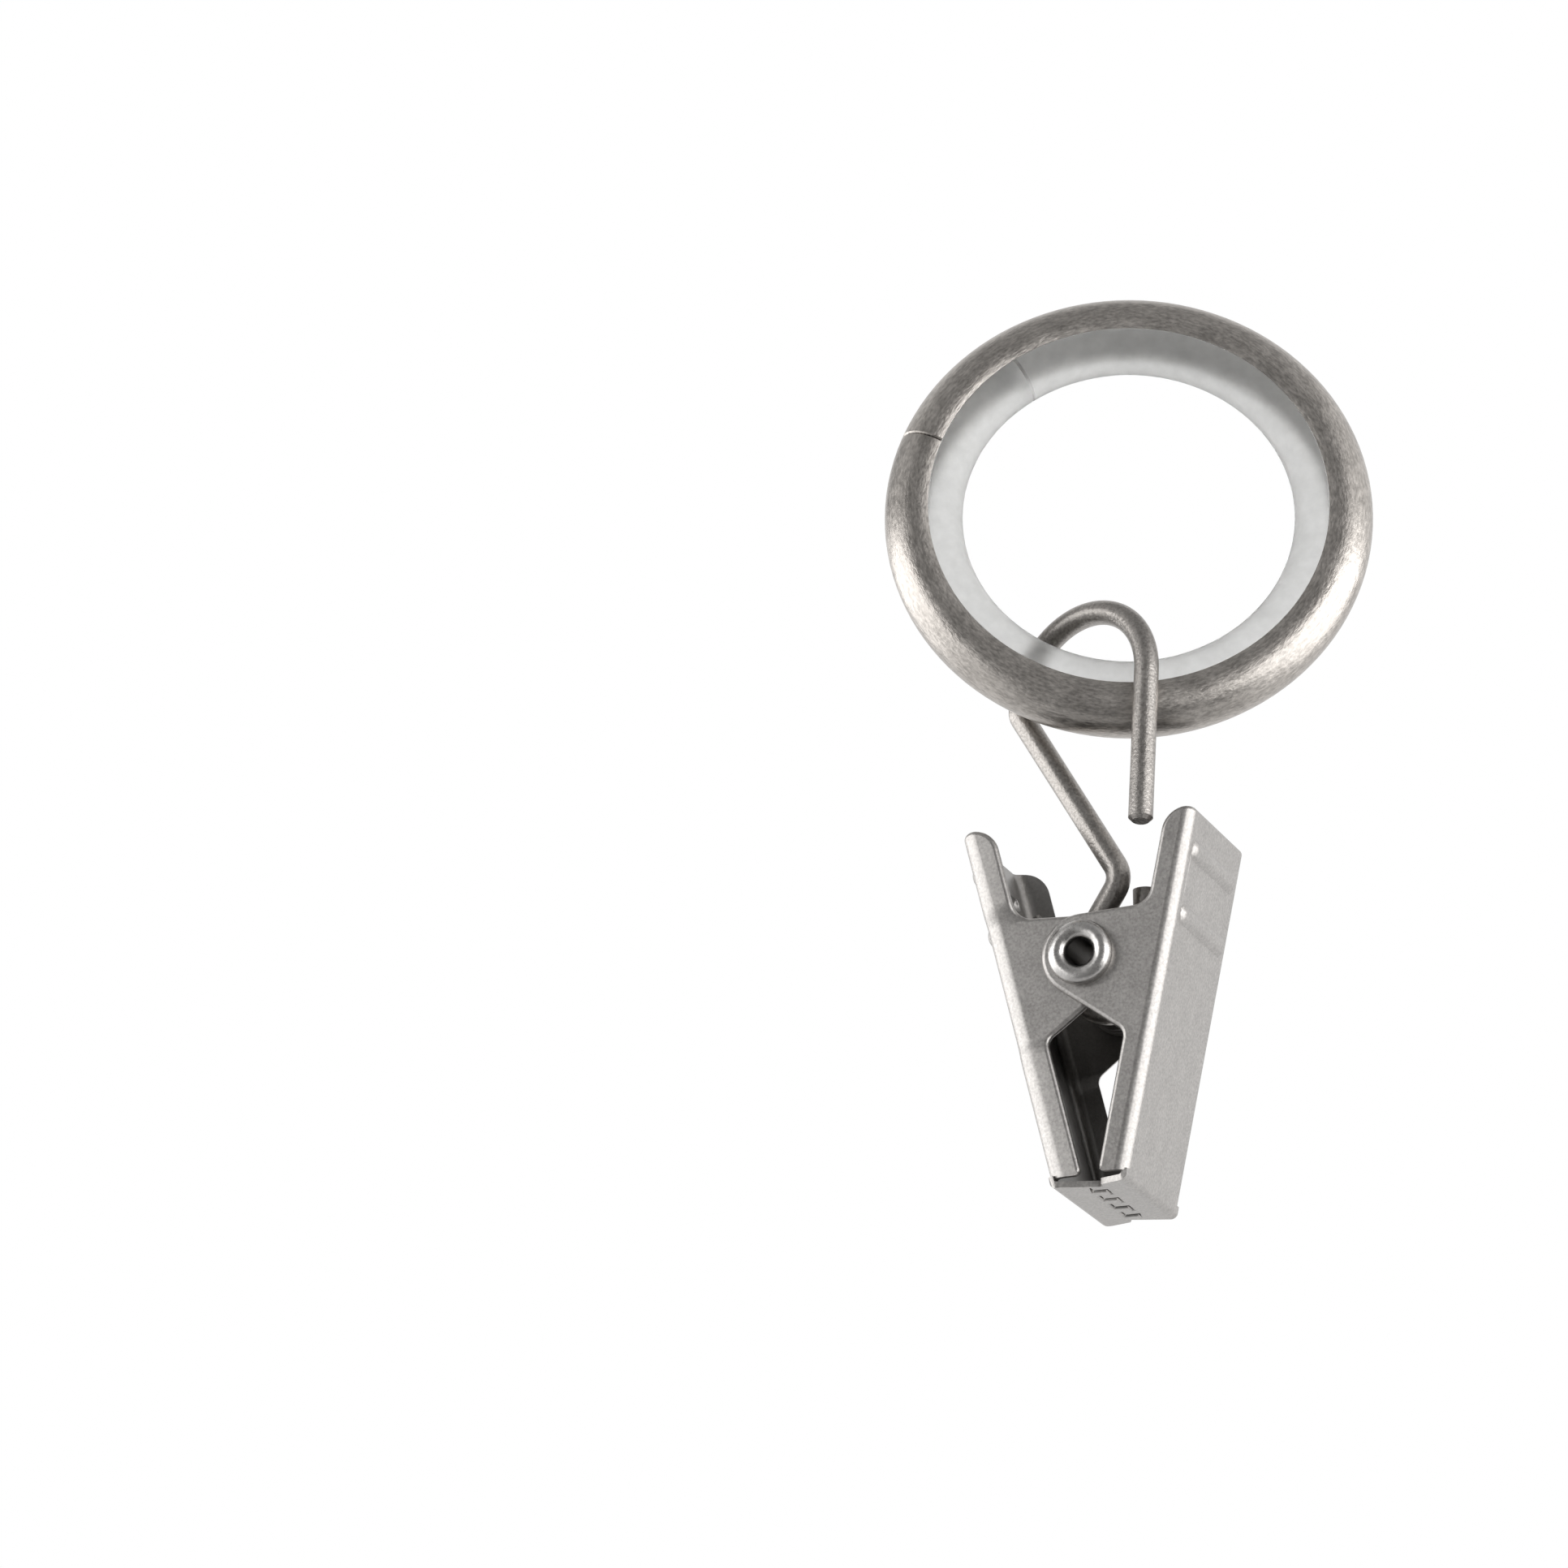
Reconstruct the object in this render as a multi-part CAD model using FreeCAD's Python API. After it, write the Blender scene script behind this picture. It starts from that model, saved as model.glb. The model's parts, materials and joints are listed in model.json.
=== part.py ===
import FreeCAD, Part
import math
import os
from FreeCAD import Placement, Rotation, Vector

# Curtain ring with a hanging spring clip, in millimetres.
# The ring stands in the XZ plane, its axis along Y, its centre at the origin, and the clip hangs below it.
# The clip has a frame of its own: origin in the middle of the rivet, X towards the front jaw,
# Y along the rivet, Z up towards the handles.

# Ring: steel strip rolled to a tube that stays open all round the inside, bent round and butted
RING_OUTER_DIAMETER = 40.0
TUBE_DIAMETER = 5.2
TUBE_WALL = 0.5
TUBE_MOUTH = 4.8
TUBE_JOINT_GAP = 0.06
TUBE_JOINT_CHAMFER = 0.12
TUBE_JOINT_ANGLE = 159.0

# Liner: an extruded plastic strip pressed into the open tube, so that the ring runs quietly
LINER_BULGE = 2.75
LINER_ROOT_HEIGHT = 0.5
LINER_CLEARANCE = 0.05
LINER_JOINT_GAP = 0.30
LINER_JOINT_ANGLE = 125.0

# Hook: one bent wire, from its free end over the ring and down to an eye round the rivet
HOOK_WIRE = 2.0
HOOK_PLACE_X = -3.67
HOOK_TWIST = 41.0
LOOP_CLEARANCE = 0.85
LOOP_RAISE = 1.0
LOOP_ROLL = 2.8
FREE_LEG = 13.3
FREE_END_CHAMFER = 0.3
REAR_CORNER_DROP = 0.4
REAR_CORNER_RADIUS = 1.2
STEM_BEND_X = 1.7
STEM_BEND_Z = 7.9
STEM_BEND_RADIUS = 2.0
EYE_CLEARANCE = 0.15
EYE_SIDE_GAP = 0.10
EYE_TAIL_Z = 7.2
EYE_CORNERS = 3

# Where the clip hangs: the middle of the rivet from the centre of the hook's loop, and three turns
RIVET_RIGHT = 2.1
RIVET_BACK = 6.2
RIVET_DROP = 22.6
CLIP_YAW = -17.0
CLIP_TILT = 9.1
CLIP_ROLL = 0.9

# Jaws: two pressed channels of the same sheet
SHEET = 0.5
FRONT_BEND_RADIUS = 1.1
REAR_BEND_RADIUS = 1.5
LIP_BEND_RADIUS = 0.7
JAW_WIDTH = 15.0
REAR_INSET = 0.45
JAW_SLOPE = 12.7
FRONT_PLATE_OFFSET = 7.0
REAR_PLATE_OFFSET = 7.4
HANDLE_LENGTH = 13.1
BITE_LENGTH = 17.6
FRONT_FLANGE_DEPTH = 2.4
FLANGE_TOP_ROUND = 2.2
EAR_RADIUS = 3.4
EAR_TOP_SLOPE = 15.5
EAR_BOTTOM_SLOPE = 24.0
EAR_TOP_FILLET = 1.6
EAR_BOTTOM_FILLET = 0.9
EAR_GAP = 0.12
NECK_TOP_CLEARANCE = 1.2
NECK_BOTTOM_CLEARANCE = 1.6
NECK_RUN = 1.8
NECK_STEPS = 4
WALL_FLARE = 4.0
FOOT_ROUND = 0.5
LIP_RELIEF = 0.35
LIP_OVERLAP = 0.1
LIP_CORNER_RADIUS = 0.5
LIP_INSET = 0.3
LIP_TAPER = 1.2
TOOTH_DEPTH = 1.2
TOOTH_COUNT = 5
TOOTH_CLEARANCE = 0.06
TOOTH_OPEN_GAP = 0.30

# Grip ribs pressed outward in each handle
RIB_LENGTH = 12.0
RIB_WIDTH = 1.8
RIB_HEIGHT = 0.38
RIB_FROM_TOP = 3.2
RIB_SPACING = 5.3
RIB_COUNT = 2

# Rivet: a tubular eyelet with a rolled head at each end
RIVET_DIAMETER = 3.6
RIVET_BORE = 2.2
RIVET_HEAD_DIAMETER = 5.1
RIVET_HEAD_HEIGHT = 1.2
RIVET_THROAT = 0.4
RIVET_ROLL_STEPS = 6
RIVET_CLEARANCE = 0.05

# Torsion spring on the rivet, filling the room beside the eye, its legs against the flat of the two handles
SPRING_MEAN_RADIUS = 3.35
SPRING_WHOLE_TURNS = 2
SPRING_COIL_GAP = 0.2
SPRING_SIDE_GAP = 0.25
SPRING_LEG_LEAN = 28.0
SPRING_LEG_LENGTH = 10.0
SPRING_WIRE_SIDES = 8

# Sizes that follow from those above
TUBE_RADIUS = TUBE_DIAMETER / 2
TUBE_CENTRE_RADIUS = RING_OUTER_DIAMETER / 2 - TUBE_RADIUS
TUBE_LIP_ANGLE = math.pi - math.asin(TUBE_MOUTH / 2 / TUBE_RADIUS)
WIRE_RADIUS = HOOK_WIRE / 2
LOOP_RADIUS = (TUBE_RADIUS + LOOP_CLEARANCE + WIRE_RADIUS) / math.sin(math.radians(HOOK_TWIST))
LOOP_CENTRE = Vector(HOOK_PLACE_X, 0, LOOP_RAISE - math.sqrt(TUBE_CENTRE_RADIUS ** 2 - HOOK_PLACE_X ** 2))
EYE_RADIUS = RIVET_DIAMETER / 2 + EYE_CLEARANCE + WIRE_RADIUS
EYE_HALF_PITCH = WIRE_RADIUS + EYE_SIDE_GAP / 2
SLOPE = math.radians(JAW_SLOPE)
FLANGE_X = FRONT_PLATE_OFFSET - FRONT_FLANGE_DEPTH
NECK_INSET = SHEET + EAR_GAP
NECK_TOP = EAR_RADIUS + NECK_TOP_CLEARANCE
NECK_BOTTOM = -EAR_RADIUS - NECK_BOTTOM_CLEARANCE
LIP_WIDTH = JAW_WIDTH - 2 * LIP_INSET
TOOTH_PITCH = (LIP_WIDTH + TOOTH_OPEN_GAP) / TOOTH_COUNT
TOOTH_WIDTH = (TOOTH_PITCH - TOOTH_CLEARANCE - TOOTH_OPEN_GAP) / 2
REAR_RIB_LENGTH = JAW_WIDTH - 2 * (NECK_INSET + REAR_BEND_RADIUS)
RIB_RADIUS = ((RIB_WIDTH / 2) ** 2 + RIB_HEIGHT ** 2) / (2 * RIB_HEIGHT)
SPRING_TURNS = SPRING_WHOLE_TURNS + (180 - 2 * SPRING_LEG_LEAN) / 360
SPRING_START = EYE_HALF_PITCH + WIRE_RADIUS + SPRING_SIDE_GAP
SPRING_END = JAW_WIDTH / 2 - NECK_INSET - REAR_BEND_RADIUS
SPRING_WIRE = (SPRING_END - SPRING_START - SPRING_TURNS * SPRING_COIL_GAP) / (SPRING_TURNS + 1)
SPRING_PITCH = SPRING_WIRE + SPRING_COIL_GAP

CLIP_ROTATION = (Rotation(Vector(0, 0, 1), CLIP_YAW) * Rotation(Vector(1, 0, 0), CLIP_TILT)
                 * Rotation(Vector(0, 1, 0), CLIP_ROLL))
CLIP_PLACE = Placement(LOOP_CENTRE + Vector(RIVET_RIGHT, RIVET_BACK, -RIVET_DROP), CLIP_ROTATION)

ALONG_RIVET = Vector(0, 1, 0)
REACH = 2 * RING_OUTER_DIAMETER  # longer than any piece, for cutting tools


def add_run(edges, start, end):
    """Append a straight edge, unless the two points meet."""
    if (end - start).Length > 1e-6:
        edges.append(Part.makeLine(start, end))


def bend(before, corner, after, radius):
    """The start, middle and end of the arc that rounds a corner."""
    into = (corner - before).normalize()
    out = (after - corner).normalize()
    turn = into.getAngle(out)
    reach = radius * math.tan(turn / 2)
    inward = (out - into).normalize()
    middle = corner + inward * (radius / math.cos(turn / 2) - radius)
    return corner - into * reach, middle, corner + out * reach


def rounded_path(corners, radii):
    """Straight runs joined by tangent arcs, with one bend radius for each corner between the two ends."""
    edges = []
    start = corners[0]
    for before, corner, after, radius in zip(corners, corners[1:], corners[2:], radii):
        arc_start, arc_middle, arc_end = bend(before, corner, after, radius)
        add_run(edges, start, arc_start)
        edges.append(Part.Arc(arc_start, arc_middle, arc_end).toShape())
        start = arc_end
    add_run(edges, start, corners[-1])
    return Part.Wire(edges)


def rounded_face(corners):
    """A closed outline from (point, radius) pairs, with radius 0 for a sharp corner."""
    edges = []
    count = len(corners)
    first = None
    start = None
    for index, (corner, radius) in enumerate(corners):
        before = corners[index - 1][0]
        after = corners[(index + 1) % count][0]
        arc_start, arc_end = corner, corner
        if radius > 0:
            arc_start, arc_middle, arc_end = bend(before, corner, after, radius)
        if start is None:
            first = arc_start
        else:
            add_run(edges, start, arc_start)
        if radius > 0:
            edges.append(Part.Arc(arc_start, arc_middle, arc_end).toShape())
        start = arc_end
    add_run(edges, start, first)
    return Part.Face(Part.Wire(edges))


def round_wire(path, start, direction, diameter):
    """A round wire along a path that starts in a direction."""
    profile = Part.Wire([Part.Circle(start, direction, diameter / 2).toShape()])
    return path.makePipeShell([profile], True, False)


def flat_sided_wire(path, start, direction, diameter, sides):
    """A wire with a few flat sides, for a coil whose turns repeat."""
    turn = Rotation(Vector(0, 0, 1), direction)
    corner = Vector(diameter / 2, 0, 0)
    corners = [start + turn.multVec(Rotation(Vector(0, 0, 1), 360 * index / sides).multVec(corner))
               for index in range(sides + 1)]
    return path.makePipeShell([Part.makePolygon(corners)], True, True)


def ring_point(radius, angle):
    """A point of the tube's section: the angle is from straight outward, round towards +Y."""
    return Vector(TUBE_CENTRE_RADIUS + radius * math.cos(angle), radius * math.sin(angle), 0)


def ring_arc(radius, start, end):
    """Part of a circle about the middle of the tube's section."""
    middle = (start + end) / 2
    return Part.Arc(ring_point(radius, start), ring_point(radius, middle), ring_point(radius, end)).toShape()


def turned_ring(edges, joint_angle, joint_gap):
    """A section carried round the ring's axis, with a gap where its two ends are butted."""
    face = Part.Face(Part.Wire(edges))
    gap_angle = math.degrees(joint_gap / TUBE_CENTRE_RADIUS)
    ring = face.revolve(Vector(0, 0, 0), Vector(0, -1, 0), 360 - gap_angle)
    ring.rotate(Vector(0, 0, 0), Vector(0, -1, 0), joint_angle + gap_angle / 2)
    return ring


def ring_tube():
    """The open steel tube, with the edges of its two ends broken."""
    inner = TUBE_RADIUS - TUBE_WALL
    lip = TUBE_LIP_ANGLE
    edges = [
        ring_arc(TUBE_RADIUS, -lip, lip),
        Part.makeLine(ring_point(TUBE_RADIUS, lip), ring_point(inner, lip)),
        ring_arc(inner, lip, -lip),
        Part.makeLine(ring_point(inner, -lip), ring_point(TUBE_RADIUS, -lip)),
    ]
    tube = turned_ring(edges, TUBE_JOINT_ANGLE, TUBE_JOINT_GAP)
    rims = [edge for edge in tube.Edges if abs(edge.Length - 2 * lip * TUBE_RADIUS) < TUBE_WALL / 2]
    return tube.makeChamfer(TUBE_JOINT_CHAMFER, rims)


def ring_liner():
    """The plastic strip: a root held behind the tube's lips and a round bead that stands out of the mouth."""
    root = TUBE_RADIUS - TUBE_WALL - LINER_CLEARANCE
    root_angle = math.acos(LINER_ROOT_HEIGHT / root)
    neck_inner = TUBE_LIP_ANGLE + LINER_CLEARANCE / root
    neck_outer = TUBE_LIP_ANGLE + LINER_CLEARANCE / TUBE_RADIUS
    apex = ring_point(LINER_BULGE - TUBE_RADIUS * math.cos(neck_outer), math.pi)
    shoulder_far = ring_point(TUBE_RADIUS, neck_outer)
    shoulder_near = ring_point(TUBE_RADIUS, -neck_outer)
    edges = [
        Part.makeLine(ring_point(root, root_angle), ring_point(root, neck_inner)),
        Part.makeLine(ring_point(root, neck_inner), shoulder_far),
        Part.Arc(shoulder_far, apex, shoulder_near).toShape(),
        Part.makeLine(shoulder_near, ring_point(root, -neck_inner)),
        Part.makeLine(ring_point(root, -neck_inner), ring_point(root, -root_angle)),
        Part.makeLine(ring_point(root, -root_angle), ring_point(root, root_angle)),
    ]
    return turned_ring(edges, LINER_JOINT_ANGLE, LINER_JOINT_GAP)


def clip_point(x, y, z):
    """A point of the clip's own frame, in the ring's frame."""
    return CLIP_PLACE.multVec(Vector(x, y, z))


def eye_corners():
    """The corners that the eye rounds: from the stem's side, under the rivet, to the tail."""
    bend_angle = math.atan2(STEM_BEND_Z, STEM_BEND_X)
    start = bend_angle + math.acos(EYE_RADIUS / math.hypot(STEM_BEND_X, STEM_BEND_Z))
    step = (2 * math.pi - start) / EYE_CORNERS
    reach = EYE_RADIUS / math.cos(step / 2)
    corners = []
    for index in range(EYE_CORNERS):
        angle = start + (index + 0.5) * step
        along = EYE_HALF_PITCH * ((2 * index + 1) / EYE_CORNERS - 1)
        corners.append(clip_point(reach * math.cos(angle), along, reach * math.sin(angle)))
    return corners


def hook():
    """The bent wire, with its free end chamfered."""
    loop_turn = Rotation(Vector(0, 0, 1), -HOOK_TWIST) * Rotation(ALONG_RIVET, LOOP_ROLL)
    across = loop_turn.multVec(Vector(LOOP_RADIUS, 0, 0))
    up = loop_turn.multVec(Vector(0, 0, 1))
    front = LOOP_CENTRE + across
    rear = LOOP_CENTRE - across
    corners = [front - up * FREE_LEG, front + up * LOOP_RADIUS, rear + up * LOOP_RADIUS,
               rear - up * REAR_CORNER_DROP, clip_point(STEM_BEND_X, -EYE_HALF_PITCH, STEM_BEND_Z)]
    radii = [LOOP_RADIUS, LOOP_RADIUS, REAR_CORNER_RADIUS, STEM_BEND_RADIUS]
    corners += eye_corners()
    radii += [EYE_RADIUS] * EYE_CORNERS
    corners.append(clip_point(EYE_RADIUS, EYE_HALF_PITCH, EYE_TAIL_Z))
    wire = round_wire(rounded_path(corners, radii), corners[0], corners[1] - corners[0], HOOK_WIRE)
    end_rim = min(wire.Edges, key=lambda edge: (edge.CenterOfMass - corners[0]).Length)
    return wire.makeChamfer(FREE_END_CHAMFER, [end_rim])


def channel_section(z, plate, bend_radius, inset, flare):
    """The jaw's U across its length: plate, two bends, and walls that may lean outward."""
    side = JAW_WIDTH / 2 - inset
    nose = -2 * EAR_RADIUS
    lean = math.tan(math.radians(flare))
    wall = SHEET / math.cos(math.radians(flare))
    nose_side = side + (plate - nose) * lean
    half = [
        (plate, side, bend_radius),
        (nose, nose_side, 0),
        (nose, nose_side - wall, 0),
        (plate - SHEET, side + SHEET * lean - wall, bend_radius - SHEET),
    ]
    mirrored = [(x, -y, radius) for x, y, radius in half[::-1]]
    return rounded_face([(Vector(x, y, z), radius) for x, y, radius in half + mirrored])


def plain_channel():
    """The front jaw's U, the same along its whole length."""
    section = channel_section(-BITE_LENGTH, FRONT_PLATE_OFFSET, FRONT_BEND_RADIUS, 0, 0)
    return section.extrude(Vector(0, 0, HANDLE_LENGTH + BITE_LENGTH))


def rear_section(z, drawn):
    """The rear jaw's U at a height: 0 is its full width and 1 is its neck."""
    inset = REAR_INSET + (NECK_INSET - REAR_INSET) * drawn
    return channel_section(z, REAR_PLATE_OFFSET, REAR_BEND_RADIUS, inset, WALL_FLARE * (1 - drawn))


def neck_slope(wide_z, narrow_z):
    """A soft change from the rear jaw's full width to its neck, in a few short steps."""
    sections = []
    for step in range(NECK_STEPS + 1):
        share = step / NECK_STEPS
        drawn = (1 - math.cos(math.pi * share)) / 2
        sections.append(rear_section(wide_z + (narrow_z - wide_z) * share, drawn).OuterWire)
    return Part.makeLoft(sections, True, True)


def necked_channel():
    """The rear jaw's U, drawn in at the ears."""
    top = NECK_TOP + NECK_RUN
    bottom = NECK_BOTTOM - NECK_RUN
    handle = rear_section(top, 0).extrude(Vector(0, 0, HANDLE_LENGTH - top))
    neck = rear_section(NECK_BOTTOM, 1).extrude(Vector(0, 0, NECK_TOP - NECK_BOTTOM))
    bite = rear_section(-BITE_LENGTH, 0).extrude(Vector(0, 0, BITE_LENGTH + bottom))
    return handle.fuse([neck_slope(top, NECK_TOP), neck, neck_slope(bottom, NECK_BOTTOM), bite])


def side_outline(plate, lip_corner_z):
    """The jaw from the side: a flange strip beside the plate, with an ear that reaches round the rivet."""
    top = math.radians(EAR_TOP_SLOPE)
    bottom = math.radians(EAR_BOTTOM_SLOPE)
    top_z = (EAR_RADIUS + FLANGE_X * math.sin(top)) / math.cos(top)
    bottom_z = -(EAR_RADIUS + FLANGE_X * math.sin(bottom)) / math.cos(bottom)
    nose_x = -EAR_RADIUS * (1 + math.cos(bottom) / math.cos(top)) / (
        math.sin(bottom) + math.cos(bottom) * math.tan(top))
    nose_z = (EAR_RADIUS + nose_x * math.sin(top)) / math.cos(top)
    foot_z = lip_corner_z + SHEET + LIP_RELIEF
    corners = [
        (plate, HANDLE_LENGTH, 0),
        (FLANGE_X, HANDLE_LENGTH, FLANGE_TOP_ROUND),
        (FLANGE_X, top_z, EAR_TOP_FILLET),
        (nose_x, nose_z, EAR_RADIUS),
        (FLANGE_X, bottom_z, EAR_BOTTOM_FILLET),
        (FLANGE_X, foot_z - (plate - FLANGE_X) * math.tan(SLOPE), FOOT_ROUND),
        (plate, foot_z, 0),
    ]
    return rounded_face([(Vector(x, 0, z), radius) for x, z, radius in corners])


def pill(plate, radius, length, z):
    """A bar with round ends across the plate, for a grip rib."""
    straight = (length - RIB_WIDTH) / 2
    centre_x = plate + RIB_HEIGHT - RIB_RADIUS
    bar = Part.makeCylinder(radius, 2 * straight, Vector(centre_x, -straight, z), ALONG_RIVET)
    ends = [Part.makeSphere(radius, Vector(centre_x, y, z)) for y in (-straight, straight)]
    return bar.fuse(ends).removeSplitter()


def with_ribs(jaw, plate, length):
    """Press the grip ribs outward: a domed bar on the outside and its hollow on the inside."""
    outside = Part.makeBox(REACH, REACH, REACH, Vector(plate - SHEET / 2, -REACH / 2, -REACH / 2))
    for index in range(RIB_COUNT):
        z = HANDLE_LENGTH - RIB_FROM_TOP - index * RIB_SPACING
        jaw = jaw.fuse(pill(plate, RIB_RADIUS, length, z).common(outside))
        jaw = jaw.cut(pill(plate, RIB_RADIUS - SHEET, length, z))
    return jaw


def lip_plan(root_x, tip_x):
    """The lip seen from below: as wide as the plate at its root and narrower at its free edge."""
    half = LIP_WIDTH / 2
    side = [(REACH, half), (root_x, half), (tip_x, half - LIP_TAPER)]
    outline = side + [(x, -y) for x, y in side[::-1]]
    plan = rounded_face([(Vector(x, y, -REACH), 0) for x, y in outline])
    return plan.extrude(Vector(0, 0, 2 * REACH))


def lip_strip(corner):
    """The foot of the plate, bent inward to a level lip whose edge is cut to teeth, in the clip's frame."""
    up = Vector(math.sin(SLOPE), 0, math.cos(SLOPE))
    inward = Vector(-math.cos(SLOPE), 0, math.sin(SLOPE))
    inner_corner = corner + Vector(-SHEET / math.cos(SLOPE) + SHEET * math.tan(SLOPE), 0, SHEET)
    plate_up = SHEET + LIP_RELIEF + LIP_OVERLAP
    tip_x = TOOTH_CLEARANCE - TOOTH_DEPTH / 2
    outline = [
        (corner + up * plate_up, 0),
        (corner, LIP_BEND_RADIUS),
        (Vector(tip_x, 0, corner.z), 0),
        (Vector(tip_x, 0, corner.z + SHEET), 0),
        (inner_corner, LIP_BEND_RADIUS - SHEET),
        (corner + up * plate_up + inward * SHEET, 0),
    ]
    strip = rounded_face(outline).extrude(Vector(0, LIP_WIDTH, 0))
    strip.translate(Vector(0, -LIP_WIDTH / 2, 0))
    strip = strip.common(lip_plan(inner_corner.x, tip_x))
    notch = TOOTH_PITCH - TOOTH_WIDTH
    for index in range(TOOTH_COUNT):
        low = LIP_WIDTH / 2 - (index + 1) * TOOTH_PITCH
        gap = Part.makeBox(TOOTH_DEPTH, notch, REACH, Vector(-TOOTH_DEPTH / 2, low, -REACH / 2))
        strip = strip.cut(gap)
    return strip


def outer_block(plate, inset):
    """The room inside a jaw's outer faces, for trimming the ends of its lip."""
    side = JAW_WIDTH / 2 - inset
    half = [(plate, side, LIP_CORNER_RADIUS), (-REACH, side, 0)]
    outline = half + [(x, -y, radius) for x, y, radius in half[::-1]]
    block = rounded_face([(Vector(x, y, -REACH), radius) for x, y, radius in outline])
    block = block.extrude(Vector(0, 0, 2 * REACH))
    block.rotate(Vector(0, 0, 0), ALONG_RIVET, JAW_SLOPE)
    return block


def jaw(channel, plate, inset, rib_length):
    """One pressed jaw in the clip's frame, on the front jaw's side."""
    lip_corner_z = -BITE_LENGTH
    side = side_outline(plate, lip_corner_z).extrude(Vector(0, REACH, 0))
    side.translate(Vector(0, -REACH / 2, 0))
    body = with_ribs(channel.common(side), plate, rib_length)
    body.rotate(Vector(0, 0, 0), ALONG_RIVET, JAW_SLOPE)
    slope_turn = Rotation(ALONG_RIVET, JAW_SLOPE)
    lip_corner = slope_turn.multVec(Vector(plate, 0, lip_corner_z))
    body = body.fuse(lip_strip(lip_corner).common(outer_block(plate, inset)))
    bore_radius = RIVET_DIAMETER / 2 + RIVET_CLEARANCE
    bore = Part.makeCylinder(bore_radius, REACH, Vector(0, -REACH / 2, 0), ALONG_RIVET)
    return body.cut(bore).removeSplitter()


def front_jaw():
    """The jaw whose ears lie outside, under the rivet's heads."""
    return jaw(plain_channel(), FRONT_PLATE_OFFSET, 0, RIB_LENGTH)


def rear_jaw():
    """The narrower jaw, drawn in at its ears so that they turn between the front jaw's."""
    shape = jaw(necked_channel(), REAR_PLATE_OFFSET, REAR_INSET, REAR_RIB_LENGTH)
    shape.rotate(Vector(0, 0, 0), Vector(0, 0, 1), 180)
    return shape


def rivet():
    """The eyelet: a tube with both ends rolled over the ears."""
    seat = JAW_WIDTH / 2
    bore = RIVET_BORE / 2
    barrel = RIVET_DIAMETER / 2
    head = RIVET_HEAD_DIAMETER / 2
    crest = (bore + head) / 2
    top = seat + RIVET_HEAD_HEIGHT
    throat = seat + RIVET_THROAT

    def rolled(side):
        """The head's edge at one end, from its bore over the crest to its seat, in short steps."""
        points = [Vector(bore, side * throat, 0), Vector(crest, side * top, 0), Vector(head, side * seat, 0)]
        roll = Part.Arc(*points)
        return Part.makePolygon(roll.discretize(RIVET_ROLL_STEPS + 1)).Edges

    edges = rolled(1) + rolled(-1) + [
        Part.makeLine(Vector(head, seat, 0), Vector(barrel, seat, 0)),
        Part.makeLine(Vector(barrel, seat, 0), Vector(barrel, -seat, 0)),
        Part.makeLine(Vector(barrel, -seat, 0), Vector(head, -seat, 0)),
        Part.makeLine(Vector(bore, -throat, 0), Vector(bore, throat, 0)),
    ]
    outline = Part.Wire(Part.__sortEdges__(edges))
    return Part.Face(outline).revolve(Vector(0, 0, 0), ALONG_RIVET, 360)


def torsion_spring():
    """The coil on the rivet with its two legs against the handles."""
    coil = Part.makeHelix(SPRING_PITCH, SPRING_PITCH * SPRING_TURNS, SPRING_MEAN_RADIUS)
    coil.rotate(Vector(0, 0, 0), Vector(0, 0, 1), SPRING_LEG_LEAN)
    begin = coil.OrderedVertexes[0].Point
    end = coil.OrderedVertexes[-1].Point
    lean = math.radians(SPRING_LEG_LEAN)
    climb = SPRING_PITCH / (2 * math.pi * SPRING_MEAN_RADIUS)
    leg_in = Vector(-math.sin(lean), math.cos(lean), climb).normalize() * SPRING_LEG_LENGTH
    leg_out = Vector(-math.sin(lean), -math.cos(lean), climb).normalize() * SPRING_LEG_LENGTH
    start = begin - leg_in
    path = Part.Wire([Part.makeLine(start, begin)] + coil.OrderedEdges + [Part.makeLine(end, end + leg_out)])
    spring = flat_sided_wire(path, start, leg_in, SPRING_WIRE, SPRING_WIRE_SIDES)
    spring.rotate(Vector(0, 0, 0), Vector(1, 0, 0), -90)
    spring.translate(Vector(0, SPRING_START + SPRING_WIRE / 2, 0))
    return spring


def hung(shape):
    """A piece of the clip, placed where the clip hangs."""
    shape.Placement = CLIP_PLACE.multiply(shape.Placement)
    return shape


def build():
    """Every piece by its name."""
    return {
        "ring_tube": ring_tube(),
        "ring_liner": ring_liner(),
        "hook": hook(),
        "front_jaw": hung(front_jaw()),
        "rear_jaw": hung(rear_jaw()),
        "rivet": hung(rivet()),
        "torsion_spring": hung(torsion_spring()),
    }


os.makedirs("parts", exist_ok=True)
for name, shape in build().items():
    solids = shape.Solids
    print(name, len(solids), "solid", shape.isValid(), round(shape.Volume, 2), "mm3")
    solids[0].exportStep("parts/" + name + ".step")
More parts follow.
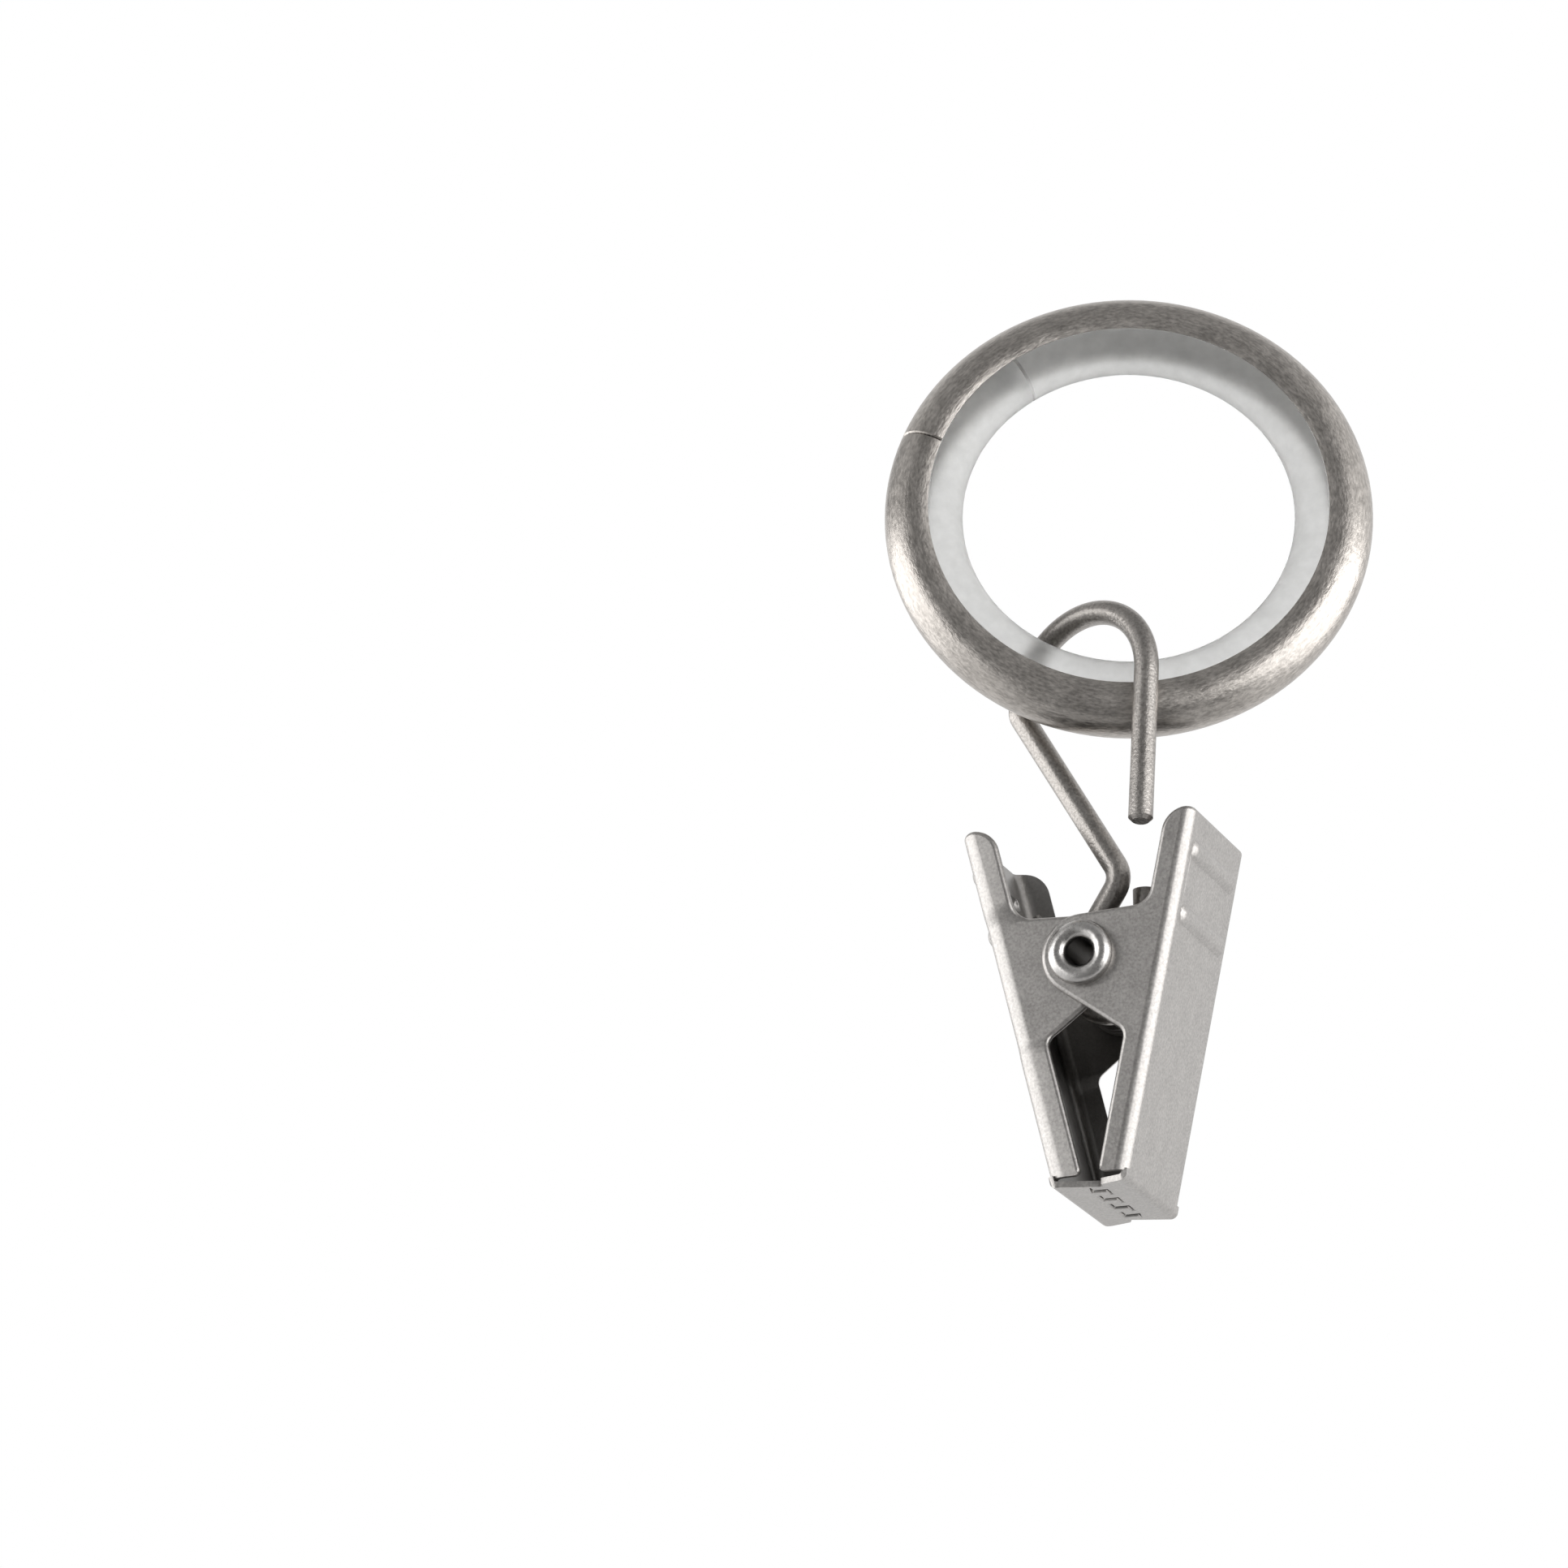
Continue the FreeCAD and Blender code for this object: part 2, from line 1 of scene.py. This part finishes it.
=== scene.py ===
import json
import math
import bpy
import bmesh
from mathutils import Euler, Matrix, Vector


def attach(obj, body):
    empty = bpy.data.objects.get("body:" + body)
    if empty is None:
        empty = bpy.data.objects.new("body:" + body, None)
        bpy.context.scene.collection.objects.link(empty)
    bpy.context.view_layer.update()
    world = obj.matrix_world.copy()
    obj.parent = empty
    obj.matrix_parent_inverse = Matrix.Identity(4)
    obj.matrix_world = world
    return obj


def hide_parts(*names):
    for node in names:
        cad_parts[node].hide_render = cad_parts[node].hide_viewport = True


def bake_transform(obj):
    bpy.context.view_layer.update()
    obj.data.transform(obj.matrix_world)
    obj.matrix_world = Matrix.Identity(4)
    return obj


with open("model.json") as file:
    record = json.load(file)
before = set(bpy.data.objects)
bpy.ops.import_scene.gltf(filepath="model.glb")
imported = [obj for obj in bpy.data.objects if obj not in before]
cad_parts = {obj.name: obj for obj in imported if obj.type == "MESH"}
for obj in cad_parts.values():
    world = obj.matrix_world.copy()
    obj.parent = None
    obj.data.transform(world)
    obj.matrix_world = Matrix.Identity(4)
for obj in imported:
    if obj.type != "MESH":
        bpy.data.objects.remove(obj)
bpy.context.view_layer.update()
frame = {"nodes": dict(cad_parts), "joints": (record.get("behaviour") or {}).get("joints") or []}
nodes = frame["nodes"]
joints = {joint["name"]: joint for joint in frame["joints"]}
MM = 0.001

# Angles from which an edge is shaded sharp: on most pieces, and on the jaws with their softly pressed ribs
SHARP = math.radians(38)
SOFT_RIB = math.radians(60)

# Points this close become one point, and faces this level with each other become one face
SEAM_MM = 0.0005
LIP_MERGE_MM = 0.05
FLAT = math.radians(0.4)

# How far the press drew the sheared rims over, and the smaller rounding of the lips and the rivet
DIE_ROLL_MM = 0.38
LIP_EDGE_MM = 0.18
RIVET_EDGE_MM = 0.08
ROUNDING_STEPS = 4

# How high the lips reach above a jaw's lowest point, and the room that the rivet's heads take round its axis
FOOT_MM = 1.1
RIVET_SEAT_MM = 2.7

# How squarely a face has to look in a direction, as a cosine
MOSTLY = 0.5
SQUARELY = 0.9

# The ring's middle line, and how long the streaks of its finish are for their width
RING_RADIUS_MM = 17.4
STREAK_STRETCH = 2.6

# The finish: cloudy patches, and the stretch of a noise's values over which a colour or gloss changes
CLOUD_MM = 2.5
NYLON_CLOUD_MM = 1.2
NYLON_GRAIN_MM = 0.4
NYLON_GRAIN_DEPTH_MM = 0.02
CLOUD_DETAIL = 4.0
GRAIN_DETAIL = 2.0
SPREAD = (0.3, 0.7)
SPECK_SPREAD = (0.32, 0.68)

# The camera is the photograph's: in front of the ring and below it, looking up
CAMERA_PLACE = (0.0, -0.5297686, -0.2816829)
CAMERA_TURN = (115.8806, -1.1794, 2.4294)
CAMERA_LENS = 167.70

# The studio, in metres: where its lamps and cards point, its floor and the light of its white surroundings
CLIP_AIM = (0.0, 0.0, -0.02)
FLOOR_LEVEL = -0.45
FLOOR_HALF_SIDE = 0.42
WORLD_LIGHT = 0.22


# Materials

def shader(name):
    """A new node material with its nodes, its links and its principled shader."""
    material = bpy.data.materials.new(name)
    material.use_nodes = True
    tree = material.node_tree
    return material, tree.nodes, tree.links, tree.nodes["Principled BSDF"]


def coordinates(tree):
    """Object coordinates, which are metres of the part's frame."""
    return tree.new("ShaderNodeTexCoord").outputs["Object"]


def noise(tree, links, place, size_mm, detail, rough):
    """Noise with features of about the given size."""
    node = tree.new("ShaderNodeTexNoise")
    node.inputs["Scale"].default_value = 1.0 / (size_mm * MM)
    node.inputs["Detail"].default_value = detail
    node.inputs["Roughness"].default_value = rough
    links.new(place, node.inputs["Vector"])
    return node.outputs["Fac"]


def ramp(tree, links, value, spread, ends):
    """Two colours or greys, the first passing into the second as a value crosses its spread."""
    node = tree.new("ShaderNodeValToRGB")
    for element, position, colour in zip(node.color_ramp.elements, spread, ends):
        element.position = position
        element.color = (*colour, 1.0) if isinstance(colour, tuple) else (colour, colour, colour, 1.0)
    links.new(value, node.inputs["Fac"])
    return node.outputs["Color"]


def bump(tree, links, height, depth_mm, strength):
    """A bump of the given depth."""
    node = tree.new("ShaderNodeBump")
    node.inputs["Distance"].default_value = depth_mm * MM
    node.inputs["Strength"].default_value = strength
    links.new(height, node.inputs["Height"])
    return node.outputs["Normal"]


def mixed(tree, links, share, first, second, kind="MIX"):
    """Two colours mixed, with the given share of the second."""
    node = tree.new("ShaderNodeMixRGB")
    node.blend_type = kind
    node.inputs["Fac"].default_value = share
    links.new(first, node.inputs["Color1"])
    links.new(second, node.inputs["Color2"])
    return node.outputs["Color"]


def round_the_ring(tree, links, place):
    """Coordinates that run along the ring's tube, pressed together lengthwise so that noise makes streaks."""
    parts = tree.new("ShaderNodeSeparateXYZ")
    links.new(place, parts.inputs[0])
    turn = tree.new("ShaderNodeMath")
    turn.operation = "ARCTAN2"
    links.new(parts.outputs["Z"], turn.inputs[0])
    links.new(parts.outputs["X"], turn.inputs[1])
    length = tree.new("ShaderNodeMath")
    length.operation = "MULTIPLY"
    length.inputs[1].default_value = RING_RADIUS_MM * MM / STREAK_STRETCH
    links.new(turn.outputs[0], length.inputs[0])
    flat = tree.new("ShaderNodeCombineXYZ")
    links.new(parts.outputs["X"], flat.inputs["X"])
    links.new(parts.outputs["Z"], flat.inputs["Z"])
    reach = tree.new("ShaderNodeVectorMath")
    reach.operation = "LENGTH"
    links.new(flat.outputs[0], reach.inputs[0])
    streaked = tree.new("ShaderNodeCombineXYZ")
    links.new(length.outputs[0], streaked.inputs["X"])
    links.new(reach.outputs["Value"], streaked.inputs["Y"])
    links.new(parts.outputs["Y"], streaked.inputs["Z"])
    return streaked.outputs[0]


def nickel(name, tones, roughness, grain_mm, grain_depth_mm, speck_dark, streaks=False):
    """Plated metal: a cloudy tone, a mottled gloss and a fine grain, which can streak round the ring."""
    material, tree, links, bsdf = shader(name)
    place = coordinates(tree)
    clouds = noise(tree, links, place, CLOUD_MM, CLOUD_DETAIL, 0.6)
    grain_place = round_the_ring(tree, links, place) if streaks else place
    specks = noise(tree, links, grain_place, grain_mm, GRAIN_DETAIL, 0.6)
    tone = ramp(tree, links, clouds, SPREAD, tones)
    speck_tone = ramp(tree, links, specks, SPECK_SPREAD, (speck_dark, 1.0))
    links.new(mixed(tree, links, 1.0, tone, speck_tone, "MULTIPLY"), bsdf.inputs["Base Color"])
    gloss = mixed(tree, links, 0.5, clouds, specks)
    links.new(ramp(tree, links, gloss, SPREAD, roughness), bsdf.inputs["Roughness"])
    links.new(bump(tree, links, specks, grain_depth_mm, 0.6), bsdf.inputs["Normal"])
    bsdf.inputs["Metallic"].default_value = 1.0
    return material


def milky_nylon(name):
    """Translucent plastic, faintly cloudy and finely uneven."""
    material, tree, links, bsdf = shader(name)
    place = coordinates(tree)
    clouds = noise(tree, links, place, NYLON_CLOUD_MM, CLOUD_DETAIL, 0.6)
    fine = noise(tree, links, place, NYLON_GRAIN_MM, GRAIN_DETAIL, 0.5)
    tone = ramp(tree, links, clouds, SPREAD, ((0.76, 0.76, 0.75), (0.90, 0.90, 0.89)))
    links.new(tone, bsdf.inputs["Base Color"])
    links.new(ramp(tree, links, fine, SPREAD, (0.48, 0.62)), bsdf.inputs["Roughness"])
    links.new(bump(tree, links, fine, NYLON_GRAIN_DEPTH_MM, 0.4), bsdf.inputs["Normal"])
    bsdf.inputs["IOR"].default_value = 1.2
    bsdf.inputs["Transmission Weight"].default_value = 0.75
    return material


satin = nickel("satin_nickel", ((0.46, 0.43, 0.40), (0.57, 0.535, 0.50)), (0.28, 0.42),
               grain_mm=0.20, grain_depth_mm=0.05, speck_dark=0.62, streaks=True)
hook_metal = nickel("hook_nickel", ((0.37, 0.348, 0.328), (0.45, 0.425, 0.40)), (0.32, 0.42),
                    grain_mm=0.22, grain_depth_mm=0.05, speck_dark=0.62)
pressed = nickel("pressed_nickel", ((0.43, 0.413, 0.397), (0.48, 0.462, 0.445)), (0.37, 0.45),
                 grain_mm=0.22, grain_depth_mm=0.008, speck_dark=0.70)
# Painted shade: a darker copy of the pressed metal for the jaws' inward faces, standing in for the shade
# inside their channel
painted_inside_shade = nickel("painted_inside_shade", ((0.26, 0.25, 0.24), (0.32, 0.31, 0.30)), (0.34, 0.42),
                        grain_mm=0.22, grain_depth_mm=0.015, speck_dark=0.86)
rivet_metal = nickel("rivet_nickel", ((0.50, 0.485, 0.47), (0.60, 0.585, 0.57)), (0.24, 0.34),
                     grain_mm=0.25, grain_depth_mm=0.012, speck_dark=0.80)
# The spring's own darker steel, also used as painted shade down the rivet's bore
spring_and_bore_shade = nickel("spring_steel", ((0.28, 0.27, 0.26), (0.36, 0.35, 0.34)), (0.28, 0.40),
                      grain_mm=0.25, grain_depth_mm=0.012, speck_dark=0.86)
nylon = milky_nylon("milky_nylon")


# Tools for dressing the CAD pieces

def dress(name, material):
    """Give a CAD node its material and leave its shape."""
    node = nodes[name]
    node.data.materials.clear()
    node.data.materials.append(material)


def welded(name):
    """A node's mesh with its seams joined and its flat faces whole."""
    bm = bmesh.new()
    bm.from_mesh(nodes[name].data)
    bmesh.ops.remove_doubles(bm, verts=bm.verts, dist=SEAM_MM * MM)
    bmesh.ops.dissolve_limit(bm, angle_limit=FLAT, verts=bm.verts, edges=bm.edges,
                             use_dissolve_boundaries=False)
    return bm


def piece_from(bm, name, material, sharp=SHARP):
    """A new smooth-shaded piece, sharp only where two faces meet at a clear angle."""
    for face in bm.faces:
        face.smooth = True
    for edge in bm.edges:
        edge.smooth = len(edge.link_faces) == 2 and edge.calc_face_angle() < sharp
    mesh = bpy.data.meshes.new(name)
    bm.to_mesh(mesh)
    bm.free()
    mesh.materials.append(material)
    piece = bpy.data.objects.new(name, mesh)
    bpy.context.scene.collection.objects.link(piece)
    return piece


def sharp_edges(bm):
    """The edges where two faces meet at a clear angle."""
    return [edge for edge in bm.edges if len(edge.link_faces) == 2 and edge.calc_face_angle() > SHARP]


def round_over(bm, edges, width_mm, clamp):
    """Round some edges of a mesh."""
    bmesh.ops.bevel(bm, geom=edges, offset=width_mm * MM, offset_type="OFFSET", segments=ROUNDING_STEPS,
                    profile=0.5, affect="EDGES", clamp_overlap=clamp)


def in_place_of(name, body, piece):
    """Let a piece stand for a CAD node and move with its body."""
    weighted = piece.modifiers.new("even_shading", "WEIGHTED_NORMAL")
    weighted.keep_sharp = True
    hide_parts(name)
    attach(piece, body)


# The clip's own axes: along the rivet, towards the front jaw and up to the handles
along = Vector(joints["jaw_open"]["axis"]).normalized()
rivet_middle = Vector(joints["jaw_open"]["pos_m"])


def middle(name):
    """The mean of a node's points."""
    points = [vertex.co for vertex in nodes[name].data.vertices]
    return sum(points, Vector()) / len(points)


to_front = middle("front_jaw") - middle("rear_jaw")
to_front = (to_front - along * to_front.dot(along)).normalized()
up = to_front.cross(along)


def facing(face):
    """How far a face looks out of the clip: 1 is straight outward and -1 is straight inward."""
    centre = face.calc_center_median() - rivet_middle
    return face.normal.dot((centre - up * centre.dot(up)).normalized())


def height(vertex):
    """How far a point lies above the rivet."""
    return (vertex.co - rivet_middle).dot(up)


def off_rivet(vertex):
    """How far a point lies from the rivet's axis."""
    place = vertex.co - rivet_middle
    return (place - along * place.dot(along)).length


# The jaws and the rivet

def roomy(vertex):
    """Whether every edge at a point is long enough to be rounded."""
    return min(edge.calc_length() for edge in vertex.link_edges) > 2 * LIP_EDGE_MM * MM


def at_step(edge, foot):
    """Whether an edge belongs to the small ledge where the lip leaves the wall."""
    level = any(abs(face.normal.dot(up)) > SQUARELY for face in edge.link_faces)
    return level and all(height(vertex) < foot + FOOT_MM * MM for vertex in edge.verts)


def is_rim(edge, foot):
    """Whether an edge is a sheared rim on the outside, away from the lip and the rivet's heads."""
    outside = [facing(face) > MOSTLY for face in edge.link_faces]
    high = all(height(vertex) > foot for vertex in edge.verts)
    clear = all(off_rivet(vertex) > RIVET_SEAT_MM * MM for vertex in edge.verts)
    return high and clear and outside.count(True) == 1 and not at_step(edge, foot)


def is_lip_edge(edge, foot):
    """Whether an edge belongs to the lip and can be rounded."""
    return all(height(vertex) < foot and roomy(vertex) for vertex in edge.verts)


def pressed_jaw(name, body):
    """A jaw whose sheared rims are drawn over on the outside, as a press leaves them, with painted shade on
    its inward faces.
    """
    bm = welded(name)
    foot = min(height(vertex) for vertex in bm.verts) + FOOT_MM * MM
    lip_points = [vertex for vertex in bm.verts if height(vertex) < foot]
    bmesh.ops.remove_doubles(bm, verts=lip_points, dist=LIP_MERGE_MM * MM)
    rims = [edge for edge in sharp_edges(bm) if is_rim(edge, foot)]
    round_over(bm, rims, DIE_ROLL_MM, False)
    lip_edges = [edge for edge in sharp_edges(bm) if is_lip_edge(edge, foot)]
    round_over(bm, lip_edges, LIP_EDGE_MM, True)
    # Painted shade: faces that look into the clip take the darker material, for the shade inside the channel
    for face in bm.faces:
        face.material_index = 1 if facing(face) < -MOSTLY else 0
    piece = piece_from(bm, name + "_pressed", pressed, SOFT_RIB)
    piece.data.materials.append(painted_inside_shade)
    in_place_of(name, body, piece)


def rolled_rivet():
    """The rivet with its turned corners softened and painted shade in its bore."""
    bm = welded("rivet")
    round_over(bm, sharp_edges(bm), RIVET_EDGE_MM, True)
    # Painted shade: faces that look in at the rivet's axis take the darker spring steel, for the shade down
    # the bore
    for face in bm.faces:
        centre = face.calc_center_median() - rivet_middle
        outward = centre - along * centre.dot(along)
        face.material_index = 1 if face.normal.dot(outward.normalized()) < -SQUARELY else 0
    piece = piece_from(bm, "rivet_rolled", rivet_metal)
    piece.data.materials.append(spring_and_bore_shade)
    in_place_of("rivet", "clip", piece)


dress("ring_tube", satin)
dress("ring_liner", nylon)
dress("hook", hook_metal)
pressed_jaw("front_jaw", "clip")
pressed_jaw("rear_jaw", "rear_jaw")
rolled_rivet()


# The spring, which sits between the two jaws

def twisting_spring():
    """The coil, smooth-shaded and put in place of the CAD spring."""
    spring = piece_from(welded("torsion_spring"), "spring_coil", spring_and_bore_shade)
    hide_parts("torsion_spring")
    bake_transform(spring)


twisting_spring()


# Light, background and camera

def point_at(thing, place, aim):
    """Put a lamp or card in its place and turn its face to a spot."""
    thing.location = place
    thing.rotation_euler = (Vector(aim) - Vector(place)).to_track_quat("-Z", "Y").to_euler()


def lamp(name, place, aim, width, height, power):
    """A soft lamp that points at a spot."""
    data = bpy.data.lights.new(name, "AREA")
    data.shape = "RECTANGLE"
    data.size = width
    data.size_y = height
    data.energy = power
    lamp_object = bpy.data.objects.new(name, data)
    bpy.context.scene.collection.objects.link(lamp_object)
    point_at(lamp_object, place, aim)


def white_world():
    """White to the camera, in reflections and through the plastic, and softer as light."""
    world = bpy.data.worlds.new("studio")
    bpy.context.scene.world = world
    world.use_nodes = True
    tree = world.node_tree.nodes
    links = world.node_tree.links
    path = tree.new("ShaderNodeLightPath")
    seen = tree.new("ShaderNodeMath")
    seen.operation = "MAXIMUM"
    links.new(path.outputs["Is Camera Ray"], seen.inputs[0])
    links.new(path.outputs["Is Glossy Ray"], seen.inputs[1])
    through = tree.new("ShaderNodeMath")
    through.operation = "MAXIMUM"
    links.new(seen.outputs[0], through.inputs[0])
    links.new(path.outputs["Is Transmission Ray"], through.inputs[1])
    level = tree.new("ShaderNodeMapRange")
    level.inputs["To Min"].default_value = WORLD_LIGHT
    level.inputs["To Max"].default_value = 1.0
    links.new(through.outputs[0], level.inputs["Value"])
    background = tree["Background"]
    background.inputs["Color"].default_value = (1.0, 1.0, 1.0, 1.0)
    links.new(level.outputs["Result"], background.inputs["Strength"])


def rectangle(name, half_width, half_depth, level):
    """A flat rectangle that the camera doesn't see."""
    corners = [(-half_width, -half_depth, level), (half_width, -half_depth, level),
               (half_width, half_depth, level), (-half_width, half_depth, level)]
    mesh = bpy.data.meshes.new(name)
    mesh.from_pydata(corners, [], [(0, 1, 2, 3)])
    flat_object = bpy.data.objects.new(name, mesh)
    bpy.context.scene.collection.objects.link(flat_object)
    flat_object.visible_camera = False
    return flat_object


def card(name, place, aim, width, height, grey):
    """A studio card that only reflections see."""
    card_object = rectangle(name, width / 2, height / 2, 0)
    point_at(card_object, place, aim)
    material = bpy.data.materials.new(name)
    material.use_nodes = True
    tree = material.node_tree.nodes
    tree.remove(tree["Principled BSDF"])
    glow = tree.new("ShaderNodeEmission")
    glow.inputs["Color"].default_value = (grey, grey, grey, 1.0)
    material.node_tree.links.new(glow.outputs[0], tree["Material Output"].inputs["Surface"])
    card_object.data.materials.append(material)
    card_object.visible_diffuse = False
    card_object.visible_transmission = False
    card_object.visible_shadow = False


def floor():
    """A plain pale floor, well below the part."""
    floor_object = rectangle("floor", FLOOR_HALF_SIDE, FLOOR_HALF_SIDE, FLOOR_LEVEL)
    material, _, _, bsdf = shader("floor")
    bsdf.inputs["Base Color"].default_value = (0.9, 0.9, 0.9, 1.0)
    bsdf.inputs["Roughness"].default_value = 0.7
    floor_object.data.materials.append(material)


white_world()
floor()
lamp("left_lamp", (-0.66, 0.0, -0.07), CLIP_AIM, 1.2, 0.24, 1.3)
lamp("left_high_lamp", (-0.66, 0.0, 0.12), CLIP_AIM, 1.2, 0.14, 1.7)
lamp("right_lamp", (0.62, -0.30, -0.16), CLIP_AIM, 1.25, 0.40, 3.1)
lamp("right_high_lamp", (0.62, -0.30, 0.10), CLIP_AIM, 1.25, 0.12, 2.2)
card("front_card", (-0.11, -0.75, 0.0), CLIP_AIM, 1.0, 1.5, 0.29)
card("top_card", (0.0, -0.20, 0.60), CLIP_AIM, 0.9, 0.7, 0.40)
card("left_high_card", (-0.60, 0.0, 0.44), CLIP_AIM, 1.1, 0.34, 0.50)
card("under_card", (0.0, -0.22, -0.42), CLIP_AIM, 0.7, 0.5, 0.20)

camera_data = bpy.data.cameras.new("camera")
camera_data.sensor_width = 36.0
camera_data.lens = CAMERA_LENS
camera_data.clip_start = 0.01
camera = bpy.data.objects.new("camera", camera_data)
bpy.context.scene.collection.objects.link(camera)
camera.location = CAMERA_PLACE
camera.rotation_euler = Euler([math.radians(angle) for angle in CAMERA_TURN])
bpy.context.scene.camera = camera
bpy.context.scene.view_settings.view_transform = "Standard"
